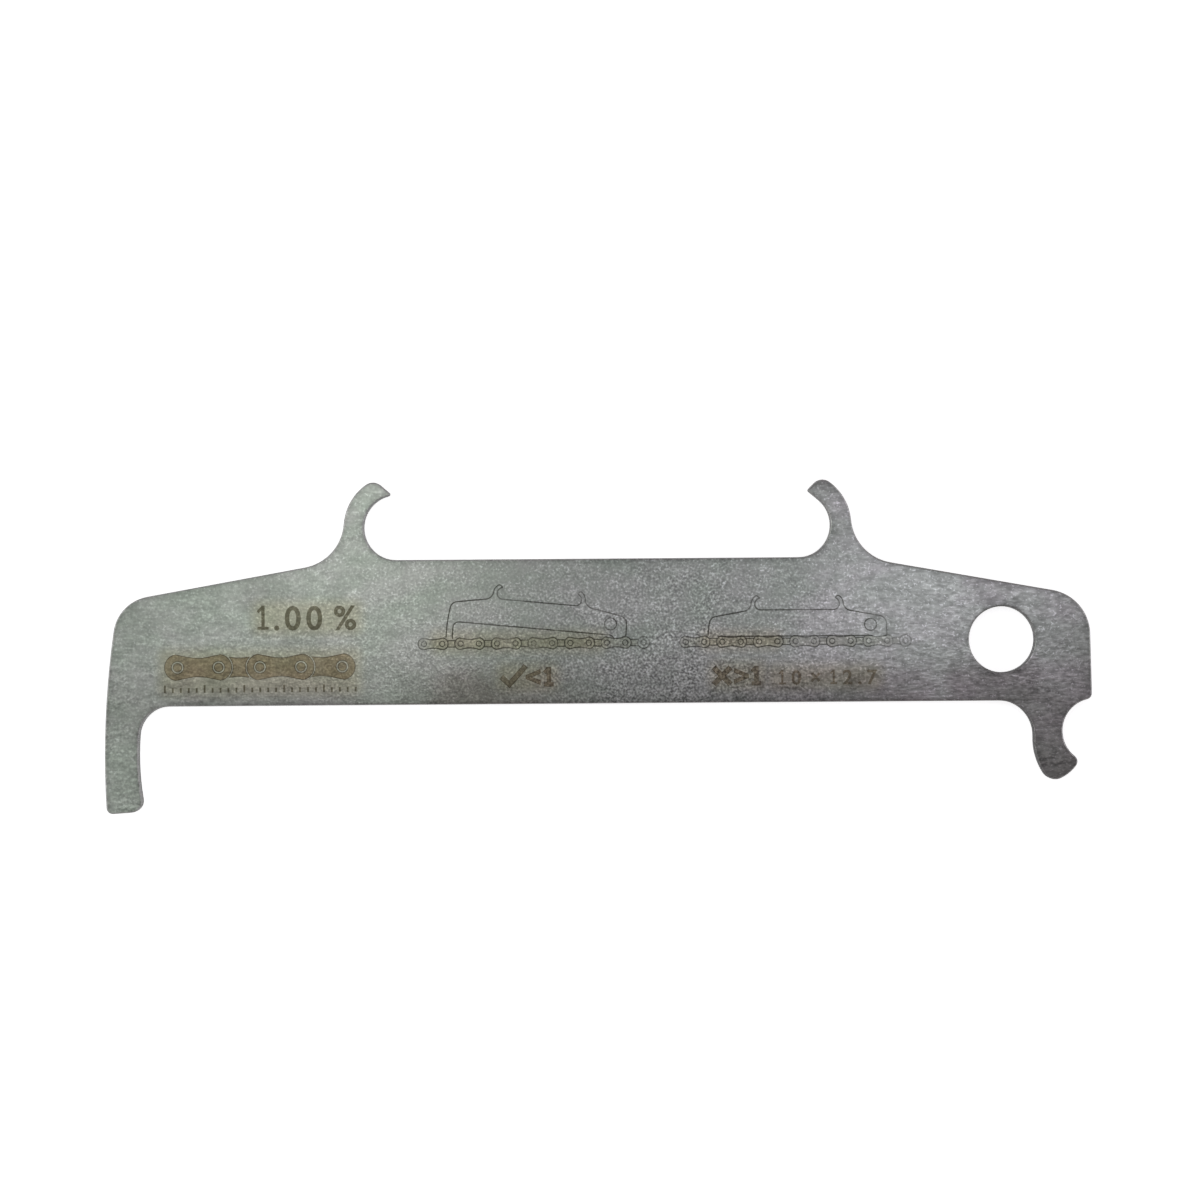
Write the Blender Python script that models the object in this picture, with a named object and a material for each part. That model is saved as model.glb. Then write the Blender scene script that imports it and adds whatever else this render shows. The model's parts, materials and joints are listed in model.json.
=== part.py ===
"""Chain wear gauge: one flat plate, blanked from stainless sheet.

The plate lies on its face. X runs along it, towards the end with the hanging hole, Y towards the
hooks and Z through the sheet. Its outline is drawn with x = 0 at the drop leg's outer edge and
y = 0 along the straight lower edge, which rests on the chain's rollers, and is then centred.

In use the notched leg bears on one roller of a bicycle chain, and the drop leg falls in beside
another once the chain between them has stretched too far. The hooks hold a pair of rollers
together while a chain is joined.
"""

import math

import bpy
from mathutils import Vector

MM = 0.001
DEGREE = math.radians(1)

# Chain that the gauge reads
CHAIN_PITCH = 12.7 * MM
ROLLER_DIAMETER = 7.75 * MM
GAUGED_PITCHES = 10
HELD_PITCHES = 4
WORN_STRETCH = 0.01

# Seats that the rollers lie in
SEAT_CLEARANCE = 0.2 * MM
HOOK_PLAY = 0.2 * MM

# Sheet
SHEET_THICKNESS = 2.0 * MM
EDGE_ROUND = 0.15 * MM
BODY_HEIGHT = 18.23 * MM

# Ends of the body, whose slopes start a little way past the walls of the hooks' seats
SLOPE_ANGLE = 10.1 * DEGREE
LEFT_SLOPE_START = 2.62 * MM
RIGHT_SLOPE_START = 3.42 * MM
LEFT_SHOULDER_RADIUS = 5.2 * MM
RIGHT_SHOULDER_RADIUS = 5.7 * MM
END_OVERHANG = 3.76 * MM
END_LEAN = 1.25 * DEGREE

# Hooks
LEFT_HOOK_WIDTH = 2.52 * MM
RIGHT_HOOK_WIDTH = 2.62 * MM
LEFT_LIP_ANGLE = 72 * DEGREE
RIGHT_LIP_ANGLE = 50 * DEGREE
LEFT_LIP_LENGTH = 0.8 * MM
RIGHT_LIP_LENGTH = 1.9 * MM
LEFT_BEAK_ANGLE = 41 * DEGREE
RIGHT_BEAK_ANGLE = 46 * DEGREE
CROWN_RADIUS = 1.5 * MM
TIP_RADIUS = 0.25 * MM
HOOK_ROOT_RADIUS = 6.0 * MM

# Drop leg
DROP_LEG_WIDTH = 4.21 * MM
DROP_LEG_DEPTH = 13.4 * MM
DROP_LEG_FOOT_ANGLE = 4 * DEGREE
OUTER_FLANK_RADIUS = 112 * MM
OUTER_WAIST_DEPTH = 6.88 * MM
INNER_FLANK_RADIUS = 34 * MM
INNER_WAIST_DEPTH = 6.29 * MM
DROP_LEG_HEEL_RADIUS = 0.8 * MM
DROP_LEG_TOE_RADIUS = 1.4 * MM
DROP_LEG_ROOT_RADIUS = 3.9 * MM

# Notched leg
NECK_WIDTH = 3.6 * MM
NECK_FLANK_RADIUS = 8.1 * MM
NECK_DEPTH = 4.87 * MM
FOOT_DEPTH = 10.29 * MM
FOOT_RADIUS = 5.1 * MM
FOOT_SETBACK = 2.4 * MM
FOOT_HEEL_RADIUS = 1.7 * MM
FOOT_TOE_RADIUS = 0.85 * MM
NOTCHED_LEG_ROOT_RADIUS = 4.4 * MM
NOTCH_CORNER_RADIUS = 0.8 * MM

# Hanging hole, raised a little over the middle of the metal there
HOLE_DIAMETER = 8.3 * MM
HOLE_FROM_END = 11.3 * MM
HOLE_RAISE = 0.2 * MM

# Fineness of the round stretches: how far a facet may lie inside its arc
FACET_SAG = 0.006 * MM

# Worked out from the sizes above
ROLLER_RADIUS = ROLLER_DIAMETER / 2
SEAT_RADIUS = ROLLER_RADIUS + SEAT_CLEARANCE
WORN_GAP = GAUGED_PITCHES * CHAIN_PITCH * (1 + WORN_STRETCH) - ROLLER_DIAMETER
HOOK_REACH = HELD_PITCHES * CHAIN_PITCH + ROLLER_DIAMETER + HOOK_PLAY
END_X = WORN_GAP + END_OVERHANG
MIDDLE_X = END_X / 2
LEFT_CREST_X = MIDDLE_X - HOOK_REACH / 2 - LEFT_SLOPE_START
RIGHT_CREST_X = MIDDLE_X + HOOK_REACH / 2 + RIGHT_SLOPE_START

LEFT, RIGHT = -1, 1
CONVEX, CONCAVE = 1, -1


class Straight:
    """An endless line that runs through a point along a heading, with the metal on its left."""

    def __init__(self, x, y, heading):
        self.point = Vector((x, y))
        self.heading = heading
        self.way = Vector((math.cos(heading), math.sin(heading)))

    def moved_in(self, distance):
        point = self.point + self.way.orthogonal() * distance
        return Straight(*point, self.heading)

    def nearest(self, point):
        return self.point + self.way * (point - self.point).dot(self.way)

    def way_at(self, point):
        return self.way


class Round:
    """A circle followed with the metal on its left: convex ones turn left and concave ones right."""

    def __init__(self, x, y, radius, turn):
        self.centre = Vector((x, y))
        self.radius = radius
        self.turn = turn

    def moved_in(self, distance):
        return Round(*self.centre, self.radius - self.turn * distance, self.turn)

    def nearest(self, point):
        return self.centre + (point - self.centre).normalized() * self.radius

    def way_at(self, point):
        return (point - self.centre).normalized().orthogonal() * self.turn

    def facets(self, start, end):
        """Points along the arc from start to end, without the first."""
        first = start - self.centre
        last = end - self.centre
        begin = math.atan2(first.y, first.x)
        sweep = self.turn * (math.atan2(last.y, last.x) - begin) % math.tau
        step = 2 * math.acos(1 - FACET_SAG / self.radius)
        count = max(1, math.ceil(sweep / step))
        turned = [begin + self.turn * sweep * i / count for i in range(1, count + 1)]
        return [self.centre + self.radius * Vector((math.cos(a), math.sin(a))) for a in turned]


def meetings(first, second):
    """The one or two points where two elements cross, or their nearest approach."""
    if isinstance(first, Straight) and isinstance(second, Straight):
        between = second.point - first.point
        run = between.cross(second.way) / first.way.cross(second.way)
        return [first.point + first.way * run]
    if isinstance(second, Straight):
        return meetings(second, first)
    if isinstance(first, Straight):
        foot = first.nearest(second.centre)
        along = first.way
        reach = second.radius**2 - (foot - second.centre).length_squared
    else:
        between = second.centre - first.centre
        gap = between.length
        to_foot = (gap**2 + first.radius**2 - second.radius**2) / (2 * gap)
        foot = first.centre + between.normalized() * to_foot
        along = between.normalized().orthogonal()
        reach = first.radius**2 - to_foot**2
    half_chord = math.sqrt(max(0.0, reach))
    return [foot + along * half_chord, foot - along * half_chord]


def crossing(first, second, bend):
    """Where the outline goes over from first to second, turning left (convex) or right (concave)."""
    return max(meetings(first, second), key=lambda p: bend * first.way_at(p).cross(second.way_at(p)))


def blend(first, second, bend, radius):
    """Start, end and round of the corner between two elements."""
    centre = crossing(first.moved_in(bend * radius), second.moved_in(bend * radius), bend)
    return first.nearest(centre), second.nearest(centre), Round(*centre, radius, bend)


def trace(corners):
    """Points round an outline, given as (element, bend, radius of the corner that ends it)."""
    elements = [element for element, _, _ in corners]
    following = elements[1:] + elements[:1]
    joints = [blend(e, n, bend, r) for (e, bend, r), n in zip(corners, following)]
    points = []
    for index, element in enumerate(elements):
        start = joints[index - 1][1]
        end, left_at, corner = joints[index]
        if isinstance(element, Round):
            points += element.facets(start, end)
        else:
            points.append(end)
        if corner.radius:
            points += corner.facets(end, left_at)
    return points


def hook(side, width, lip_angle, lip_length, beak_angle, crest_x):
    """Elements of one hook: the body's slope, the hook's back, beak and lip, and its seat."""
    seat_x = MIDDLE_X + side * (HOOK_REACH / 2 - SEAT_RADIUS)
    seat_y = BODY_HEIGHT + SEAT_RADIUS
    lip_x = seat_x + side * SEAT_RADIUS * math.cos(lip_angle)
    lip_y = seat_y + SEAT_RADIUS * math.sin(lip_angle)
    lip_heading = lip_angle - 90 * DEGREE
    tip_x = lip_x - side * lip_length * math.cos(lip_heading)
    tip_y = lip_y - lip_length * math.sin(lip_heading)
    return {
        "slope": Straight(crest_x, BODY_HEIGHT, side * (math.pi - SLOPE_ANGLE)),
        "back": Round(seat_x, seat_y, SEAT_RADIUS + width, CONVEX),
        "beak": Straight(tip_x, tip_y, side * (math.pi + beak_angle)),
        "lip": Straight(lip_x, lip_y, side * lip_heading),
        "seat": Round(seat_x, seat_y, SEAT_RADIUS, CONCAVE),
    }


def plate_outline():
    """Points round the plate, anticlockwise from the drop leg's foot."""
    right = hook(
        RIGHT, RIGHT_HOOK_WIDTH, RIGHT_LIP_ANGLE, RIGHT_LIP_LENGTH, RIGHT_BEAK_ANGLE, RIGHT_CREST_X
    )
    left = hook(LEFT, LEFT_HOOK_WIDTH, LEFT_LIP_ANGLE, LEFT_LIP_LENGTH, LEFT_BEAK_ANGLE, LEFT_CREST_X)

    drop_foot = Straight(DROP_LEG_WIDTH / 2, -DROP_LEG_DEPTH, DROP_LEG_FOOT_ANGLE)
    inner_flank = Round(DROP_LEG_WIDTH + INNER_FLANK_RADIUS, -INNER_WAIST_DEPTH, INNER_FLANK_RADIUS, CONCAVE)
    lower_edge = Straight(0, 0, 0)
    neck_flank = Round(WORN_GAP - NECK_WIDTH + NECK_FLANK_RADIUS, -NECK_DEPTH, NECK_FLANK_RADIUS, CONVEX)
    foot = Round(WORN_GAP - FOOT_SETBACK, FOOT_RADIUS - FOOT_DEPTH, FOOT_RADIUS, CONVEX)
    notch = Round(WORN_GAP + SEAT_RADIUS, -ROLLER_RADIUS, SEAT_RADIUS, CONCAVE)
    end_edge = Straight(END_X, 0, 90 * DEGREE + END_LEAN)
    top_edge = Straight(MIDDLE_X, BODY_HEIGHT, math.pi)
    outer_flank = Round(OUTER_FLANK_RADIUS, -OUTER_WAIST_DEPTH, OUTER_FLANK_RADIUS, CONVEX)

    return trace(
        [
            (drop_foot, CONVEX, DROP_LEG_TOE_RADIUS),
            (inner_flank, CONCAVE, DROP_LEG_ROOT_RADIUS),
            (lower_edge, CONCAVE, NOTCHED_LEG_ROOT_RADIUS),
            (neck_flank, CONVEX, FOOT_HEEL_RADIUS),
            (foot, CONVEX, FOOT_TOE_RADIUS),
            (notch, CONVEX, NOTCH_CORNER_RADIUS),
            (end_edge, CONVEX, RIGHT_SHOULDER_RADIUS),
            (right["slope"], CONCAVE, HOOK_ROOT_RADIUS),
            (right["back"], CONVEX, CROWN_RADIUS),
            (right["beak"], CONVEX, TIP_RADIUS),
            (right["lip"], CONCAVE, 0),
            (right["seat"], CONCAVE, 0),
            (top_edge, CONCAVE, 0),
            (left["seat"], CONCAVE, 0),
            (left["lip"], CONVEX, TIP_RADIUS),
            (left["beak"], CONVEX, CROWN_RADIUS),
            (left["back"], CONCAVE, HOOK_ROOT_RADIUS),
            (left["slope"], CONVEX, LEFT_SHOULDER_RADIUS),
            (outer_flank, CONVEX, DROP_LEG_HEEL_RADIUS),
        ]
    )


def hole_outline():
    """Points round the hanging hole, clockwise."""
    x = END_X - HOLE_FROM_END
    metal_height = BODY_HEIGHT - (x - RIGHT_CREST_X) * math.tan(SLOPE_ANGLE)
    hole = Round(x, metal_height / 2 + HOLE_RAISE, HOLE_DIAMETER / 2, CONCAVE)
    top = hole.centre + Vector((0, hole.radius))
    bottom = hole.centre - Vector((0, hole.radius))
    return hole.facets(top, bottom) + hole.facets(bottom, top)


def add_loop(curve, points, centre):
    spline = curve.splines.new("POLY")
    spline.points.add(len(points) - 1)
    for spot, point in zip(spline.points, points):
        spot.co = (*(point - centre), 0, 1)
    spline.use_cyclic_u = True


def steel_material():
    material = bpy.data.materials.new("Satin stainless steel")
    material.use_nodes = True
    shader = material.node_tree.nodes["Principled BSDF"]
    shader.inputs["Base Color"].default_value = (0.36, 0.36, 0.35, 1)
    shader.inputs["Metallic"].default_value = 1
    shader.inputs["Roughness"].default_value = 0.45
    return material


def gauge_plate():
    """The plate as a flat curve, given the sheet's thickness and rounded along both faces."""
    outer = plate_outline()
    centre = Vector(
        (
            (min(p.x for p in outer) + max(p.x for p in outer)) / 2,
            (min(p.y for p in outer) + max(p.y for p in outer)) / 2,
        )
    )
    curve = bpy.data.curves.new("gauge_plate", "CURVE")
    curve.dimensions = "2D"
    curve.fill_mode = "BOTH"
    curve.extrude = SHEET_THICKNESS / 2 - EDGE_ROUND
    curve.bevel_depth = EDGE_ROUND
    curve.bevel_resolution = 1
    curve.offset = -EDGE_ROUND
    add_loop(curve, outer, centre)
    add_loop(curve, hole_outline(), centre)
    curve.materials.append(steel_material())

    plate = bpy.data.objects.new("gauge_plate", curve)
    plate.location.z = SHEET_THICKNESS / 2
    return plate


def main():
    for old in list(bpy.data.objects):
        bpy.data.objects.remove(old, do_unlink=True)
    collection = bpy.data.collections.new("Chain wear gauge")
    bpy.context.scene.collection.children.link(collection)
    collection.objects.link(gauge_plate())


main()
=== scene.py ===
"""Finish, marks, table and lights for the chain wear gauge: a blanked steel plate with burnt-in marks.

The plate lies on its face with the hooks towards +Y and the hanging hole towards +X. Its marks are
two small pictures of the gauge on a chain, a tick, a cross, plain numbers, a row of chain links and
a millimetre scale.
"""

import json
import math

import bpy
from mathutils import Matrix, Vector

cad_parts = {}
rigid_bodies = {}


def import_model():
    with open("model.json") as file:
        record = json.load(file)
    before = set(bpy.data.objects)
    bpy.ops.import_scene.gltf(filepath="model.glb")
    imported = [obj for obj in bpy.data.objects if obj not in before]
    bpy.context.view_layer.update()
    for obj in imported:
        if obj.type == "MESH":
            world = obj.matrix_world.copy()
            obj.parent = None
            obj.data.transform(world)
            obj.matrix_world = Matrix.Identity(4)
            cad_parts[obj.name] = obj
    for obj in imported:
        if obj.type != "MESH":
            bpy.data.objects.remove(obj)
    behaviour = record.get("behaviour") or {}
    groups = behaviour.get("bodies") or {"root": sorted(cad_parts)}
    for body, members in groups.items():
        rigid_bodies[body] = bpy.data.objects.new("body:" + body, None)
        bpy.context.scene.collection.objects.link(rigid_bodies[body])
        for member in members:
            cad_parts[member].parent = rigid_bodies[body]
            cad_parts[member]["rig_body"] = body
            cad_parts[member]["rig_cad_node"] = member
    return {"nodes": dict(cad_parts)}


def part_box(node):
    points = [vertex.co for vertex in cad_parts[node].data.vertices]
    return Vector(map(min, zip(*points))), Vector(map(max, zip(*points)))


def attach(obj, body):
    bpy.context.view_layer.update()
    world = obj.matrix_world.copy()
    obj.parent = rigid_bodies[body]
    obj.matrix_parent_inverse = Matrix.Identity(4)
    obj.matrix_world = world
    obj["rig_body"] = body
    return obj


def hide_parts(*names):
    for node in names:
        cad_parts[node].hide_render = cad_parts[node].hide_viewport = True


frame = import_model()

MM = 0.001
DEGREE = math.radians(1)
BODY = "root"
PLATE_NODE = "gauge_plate"

# Plate: its face and rim, and the tear line that blanking leaves on its wall
TINY = 0.002 * MM
RIM_ROUND = 0.22 * MM
RIM_STEPS = 4
TEAR_TOP = 0.72 * MM
TEAR_FOOT = 0.60 * MM
TEAR_DEPTH = 0.04 * MM
FACE_DROP = 0.01 * MM
WALL_SLOPE = 0.80
SHADE_ANGLE = 32 * DEGREE

# Marks: fills and lines about a hundredth of a millimetre thick, half sunk in the face
MARK_TINY = TINY / 10
MARK_SINK = 0.006 * MM
LINE_SINK = 0.01 * MM
LINE_WIDTH = 0.17 * MM
LINE_STEPS = 1
CONTOUR_WIDTH = 0.13 * MM
CONTOUR_CUT = MARK_SINK / 100
CUTTER_DEPTH = 1 * MM

# Two small pictures of the gauge on a chain
PICTURE_SCALE = 0.1813
CHAIN_PITCH = 12.7 * MM * PICTURE_SCALE
CHAIN_ROLLERS = 13
LINK_LOBE = 0.735 * MM
LINK_WAIST = 0.46 * MM
INNER_WAIST = 0.40 * MM
PIN_RADIUS = 0.33 * MM
LOBE_STEPS = 40
RING_STEPS = 28
WAIST_BLEND = 0.2
WAIST_STEPS = 5
FILL_LOWER = 0.003 * MM
FILL_GAP = 0.03 * MM
GOOD_CHAIN_START = (-21.87 * MM, 0.38 * MM)
WORN_CHAIN_START = (11.07 * MM, 0.39 * MM)
GOOD_GAUGE_PLACE = (-7.57 * MM, 3.52 * MM)
GOOD_GAUGE_TILT = -5.4 * DEGREE
WORN_GAUGE_PLACE = (25.10 * MM, 2.37 * MM)
PICTURE_CLEAR = 0.70 * MM

# Tick, cross, row of chain links and millimetre scale
BOLD_LINE_WIDTH = 0.60 * MM
TICK_FOOT = (-11.15 * MM, -4.76 * MM)
TICK_LONG_ARM = 2.75 * MM
TICK_SHORT_ARM = 1.05 * MM
TICK_TURN = -42 * DEGREE
CROSS_CENTRE = (15.60 * MM, -3.90 * MM)
CROSS_HEIGHT = 2.5 * MM
BAND_CENTRE = (-42.53 * MM, -2.37 * MM)
BAND_PITCH = 5.18 * MM
BAND_ROLLERS = 5
BAND_LOBE = 1.62 * MM
BAND_WAIST = 1.02 * MM
BAND_PIN_HOLE = 0.80 * MM
BAND_PIN = 0.52 * MM
BAND_GAP = 0.22 * MM
SCALE_START = (-54.50 * MM, -5.55 * MM)
SCALE_STEPS = 24
SCALE_LONG_EVERY = 5
SCALE_LONG = 0.95 * MM
SCALE_SHORT = 0.60 * MM
SCALE_LINE = 0.24 * MM

# Numbers
LABELS = [
    # name, characters, left end, foot, height, stroke of the 1, gap and boldness in mm, finish, edged
    ("mark_limit_number", "1.00 %", -42.88, 2.30, 3.05, 0.42, 0.68, 0.080, "deep", False),
    ("mark_good_number", "<1", -9.05, -5.05, 2.40, 0.50, 0.42, 0.10, "bold", True),
    ("mark_worn_number", ">1", 17.15, -5.10, 2.40, 0.50, 0.32, 0.10, "bold", True),
    ("mark_span_number", "10 × 12.7", 22.7, -5.05, 1.85, 0.27, 0.72, 0.05, "bold", False),
]
# a digit's height as a share of the letter size, and a space's width as a share of that height
DIGIT_SHARE = 0.72
SPACE_WIDTH = 0.25
GLYPH_STEPS = 4
# the digit 1: widths and places as shares of its height, strokes as shares of its stem's width
ONE_WIDTH = 0.46
ONE_FOOT_STROKE = 0.9
ONE_FLAG_STROKE = 0.8
ONE_FLAG_REACH = 0.95
ONE_FLAG_START = 0.73
ONE_FLAG_TUCK = 0.3

# Patterns of the finish: scale, detail and roughness of each noise, and how it is stretched
SPECKLE_SCALE = 3400.0
STREAK_SCALE = 2700.0
WISPS = (1500.0, 1.0, 0.5)
PATCHES = (420.0, 2.0, 0.5)
MOTTLE = (190.0, 3.0, 0.6)
BLOTCHES = (800.0, 2.0, 0.5)
MARK_PATCHES = (330.0, 2.0, 0.6)
STREAK_STRETCH = (0.45, 1.0, 1.0)
WISP_STRETCH = (0.55, 1.0, 1.0)
PATCH_STRETCH = (0.6, 1.0, 1.0)
BLOTCH_STRETCH = (0.7, 1.0, 1.0)

# Steel: colours, shares from the plate's left end at 0 to its right end at 1, and ranges, each of
# which says from what to what a value runs and what it is made there
STEEL = (0.50, 0.505, 0.49)
DARK_GRAIN = 0.35
LIGHT_GRAIN = 2.0
# Painted glints: a bright colour mixed into the steel in sparse wisps, more of them towards the right end
PAINTED_GLINT = (0.92, 0.92, 0.93)
GREENISH = (0.965, 1.0, 0.965)
PLUM = (1.015, 0.985, 1.01)
PLATE_ENDS = (-60 * MM, 60 * MM, 0.0, 1.0)
GRAIN_SPAN = (0.30, 0.70, 0.0, 1.0)
GRAIN_SKEW = 1.4
GRAIN_STRENGTH = ((0.1, 0.33), (0.38, 0.32), (0.6, 0.66), (0.83, 0.32), (0.95, 0.40))
GRAIN_UP_THE_PLATE = (-7 * MM, 9 * MM, 1.36, 0.70)
GRAIN_ON_HOOKS = (11 * MM, 16 * MM, 1.0, 1.2)
GRAIN_IN_PATCHES = (0.35, 0.65, 0.70, 1.30)
GRAIN_BUMP = (0.6, 0.06 * MM)
STREAK_SHARE = ((0.1, 0.55), (0.4, 0.12), (0.6, 0.20), (0.85, 0.80))
STREAKS_ON_HOOKS = (10 * MM, 16 * MM, 0.0, 0.6)
WISP_CREST = (0.0, 0.035, 1.0, 0.0)
WISP_GATE = (0.51, 0.61, 0.0, 1.0)
PAINTED_GLINT_SHARE = ((0.1, 0.45), (0.4, 0.70), (0.6, 0.95), (0.8, 1.0))
CLOUD_DEPTH = 0.10
CLOUDS = (0.38, 0.62, 1 - CLOUD_DEPTH, 1 + CLOUD_DEPTH)
HUE_SPAN = (0.38, 0.62, 0.0, 1.0)
# Painted sheen: the hooks are made a little lighter
PAINTED_SHEEN_ON_HOOKS = (14 * MM, 19 * MM, 1.0, 1.11)
FACE_ROUGHNESS = (0.0, 1.0, 0.42, 0.32)
# Painted shade near the plate's edges: the face's colour is darkened by this tint within the reach of
# every sharp edge, so the rounded rim looks dark
PAINTED_RIM_SHADE = (0.64, 0.64, 0.64)
RIM_REACH = 1.35 * MM
RIM_SAMPLES = 6
RIM_BEND = (0.03, 0.80, 0.0, 1.0)

# Painted shade: the long lower edge and the leg at the right are darkened
PAINTED_SHADE_TINTS = (
    (0.20, (0.68, 0.66, 0.665)),
    (0.34, (0.68, 0.645, 0.62)),
    (0.43, (0.69, 0.64, 0.615)),
    (0.52, (0.665, 0.695, 0.675)),
    (0.70, (0.65, 0.635, 0.635)),
    (0.88, (0.69, 0.65, 0.665)),
)
PAINTED_SHADE_SHARE = (
    (0.03, 0.37),
    (0.07, 0.69),
    (0.20, 0.76),
    (0.28, 0.09),
    (0.36, 0.92),
    (0.42, 0.71),
    (0.50, 0.43),
    (0.60, 0.72),
    (0.70, 1.0),
    (0.78, 0.84),
    (0.86, 0.42),
)
PAINTED_SHADE_DOWN = (-1.2 * MM, -7.2 * MM, 0.0, 1.31)
PAINTED_SHADE_ABOVE_LEGS = (-12 * MM, -7.3 * MM, 0.0, 1.0)
PAINTED_SHADE_LEG = (0.70, 0.75, 0.0, 1.0)
PAINTED_SHADE_IN_PATCHES = (0.35, 0.65, 0.65, 1.20)

# Places of painted shade, smudges, darkening by the hanging hole and warmth: middle and half size in mm
# of each, and how far they fade out
PAINTED_SHADE_SPOTS = [((49.8, -5.2, 2), (4.6, 1.0, 1))]
SMUDGED = [
    ((49.3, 7.4, 2), (1.4, 0.2, 1)),
    ((-16.7, -5.4, 2), (2.0, 0.5, 1)),
    ((36.2, -5.4, 2), (3.5, 0.5, 1)),
    ((-37.4, 1.2, 2), (1.0, 0.1, 1)),
    ((6.0, 12.5, 2), (4.0, 0.5, 1)),
    ((-42.0, 7.0, 2), (1.5, 0.3, 1)),
]
SMUDGE_SHARE = 0.42
SHADE_AND_SMUDGE_FADE = 3.4 * MM
# Darker just above and below the hanging hole: where, how far it fades and how much darker
HOLE_DARKENING = [((50.8, -3.3, 2), (1.8, 0.1, 1)), ((51.0, 4.6, 2), (1.4, 0.1, 1))]
HOLE_DARKENING_FADE = 1.9 * MM
HOLE_DARKENING_TINT = (0.76, 0.76, 0.76)
HEATED = [
    ((-42.5, -3.0, 2), (11.6, 1.8, 0.2)),
    ((-36.5, 3.8, 2), (5.8, 1.0, 0.2)),
    ((-8.8, -3.9, 2), (2.8, 0.6, 0.2)),
    ((17.7, -3.9, 2), (2.6, 0.6, 0.2)),
    ((28.5, -4.1, 2), (6.2, 0.4, 0.2)),
    ((-10.0, 0.6, 2), (10.0, 0.3, 0.2)),
    ((18.0, 0.6, 2), (4.0, 0.1, 0.2)),
]
HEAT_FADE = 2.2 * MM
HEATED_TINT = (0.985, 0.93, 0.81)

# Oxide of the marks: how each finish darkens the sheet, and how far it fades out in places
MARK_TINTS = {
    "burnt": ((0.68, 0.59, 0.475), 0.15),
    "bold": ((0.56, 0.51, 0.445), 0.15),
    "deep": ((0.39, 0.375, 0.325), 0.10),
    "contour": ((0.33, 0.29, 0.245), 0.30),
    "fine": ((0.27, 0.27, 0.25), 0.45),
    "faint": ((0.90, 0.90, 0.83), 0.50),
}
MARK_FADES = (0.45, 0.70)
MARK_ROUGHNESS = (0.0, 1.0, 0.50, 0.40)
RUBBED_OFF = [((39.0, 2.5, 2), (0.5, 1.5, 1))]
RUB_FADE = 8.0 * MM
RUB_SHARE = 0.60

# Wall: scored land over a torn band, with painted shade darkening the land towards the leg at the right
WALL_METALLIC = 0.6
WALL_WAVE = (700.0, 2.0, 0.6)
WALL_WAVE_RISE = (0.3, 0.7, -0.12 * MM, 0.12 * MM)
WALL_SCORES = (5200.0, 2.0, 0.7)
WALL_SCORE_STRETCH = (1.0, 1.0, 0.04)
WALL_RUBBLE = (3300.0, 3.0, 0.7)
NOISE_SPAN = (0.3, 0.7, 0.0, 1.0)
TORN_BELOW = (0.62 * MM, 0.76 * MM, 1.0, 0.0)
LAND_DARK = (0.18, 0.18, 0.18)
LAND_LIGHT = (0.36, 0.36, 0.355)
TORN_DARK = (0.06, 0.06, 0.06)
TORN_LIGHT = (0.17, 0.17, 0.165)
BLACK = (0.0, 0.0, 0.0)
WALL_SHADE_RIGHT = (20 * MM, 54 * MM, 0.0, 1.0)
WALL_SHADE_DOWN = (2 * MM, -10 * MM, 0.25, 0.55)
WALL_ROUGHNESS = (0.0, 1.0, 0.50, 0.75)
WALL_SPECULAR = 0.15
WALL_SPECULAR_TINT = (0.35, 0.35, 0.35)
SCORE_HEIGHT = 0.4
WALL_BUMP = (0.5, 0.06 * MM)

# Table and room
TABLE_SIZE = 40
TABLE_DARK = (0.85, 0.85, 0.85)
TABLE_LIGHT = (0.88, 0.88, 0.88)
TABLE_FIBRE = (900.0, 3.0, 0.6)
TABLE_ROUGHNESS = 0.6
TABLE_SPECULAR = 0.2
TABLE_GLOW = 0.75
WHITE = (1.0, 1.0, 1.0)
ROOM_COLOUR = (1.0, 0.94, 0.97)
WALLS_TO_CEILING = (0.3, 0.75)
WALL_LIGHT = 0.65
CEILING_LIGHT = 0.175
SOFTBOXES = [
    # name, place in mm, aims at in mm, width and height in mm, radiance, colour
    ("left_box", (-81, -12, 50), (-81, -12, 0), (46, 116), 0.40, (0.86, 1.0, 0.88)),
    ("low_left_box", (-56, -42, 50), (-56, -42, 0), (22, 40), 0.52, (0.87, 1.0, 0.89)),
    ("mid_left_box", (-36.5, 20.5, 50), (-36.5, 20.5, 0), (41, 53), 0.75, (0.895, 1.0, 0.895)),
    ("middle_box", (11, 8, 50), (11, 8, 0), (43, 24), 0.395, (0.90, 1.0, 0.98)),
    ("right_box", (43.2, 9, 50), (43.2, 9, 0), (45.5, 24), 0.875, (0.965, 0.965, 1.05)),
    ("far_left_box", (-700, 100, 260), (0, 0, 0), (900, 420), 0.9, (1.0, 1.0, 1.0)),
    ("far_right_box", (700, 100, 260), (0, 0, 0), (900, 420), 0.9, (1.0, 0.97, 1.02)),
]

# Camera, which looks straight down from over the middle of the picture
PICTURE_WIDTH = 150.93 * MM
LENS = 100
SENSOR = 36
NEAR_LIMIT = 10 * MM
PICTURE_CENTRE = (0.313 * MM, 5.753 * MM)
CAMERA_ROLL = -0.42 * DEGREE


# Selecting, placing and joining


def alone(thing):
    """Leaves only this object selected, and active."""
    bpy.ops.object.select_all(action="DESELECT")
    thing.select_set(True)
    bpy.context.view_layer.objects.active = thing


def edit():
    bpy.ops.object.mode_set(mode="EDIT")


def leave():
    bpy.ops.object.mode_set(mode="OBJECT")


def pick_points(thing, wanted):
    """Selects the points for which wanted is true, in edit mode."""
    bpy.ops.mesh.select_mode(type="VERT")
    bpy.ops.mesh.select_all(action="DESELECT")
    leave()
    for point in thing.data.vertices:
        point.select = wanted(point.co)
    edit()


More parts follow.
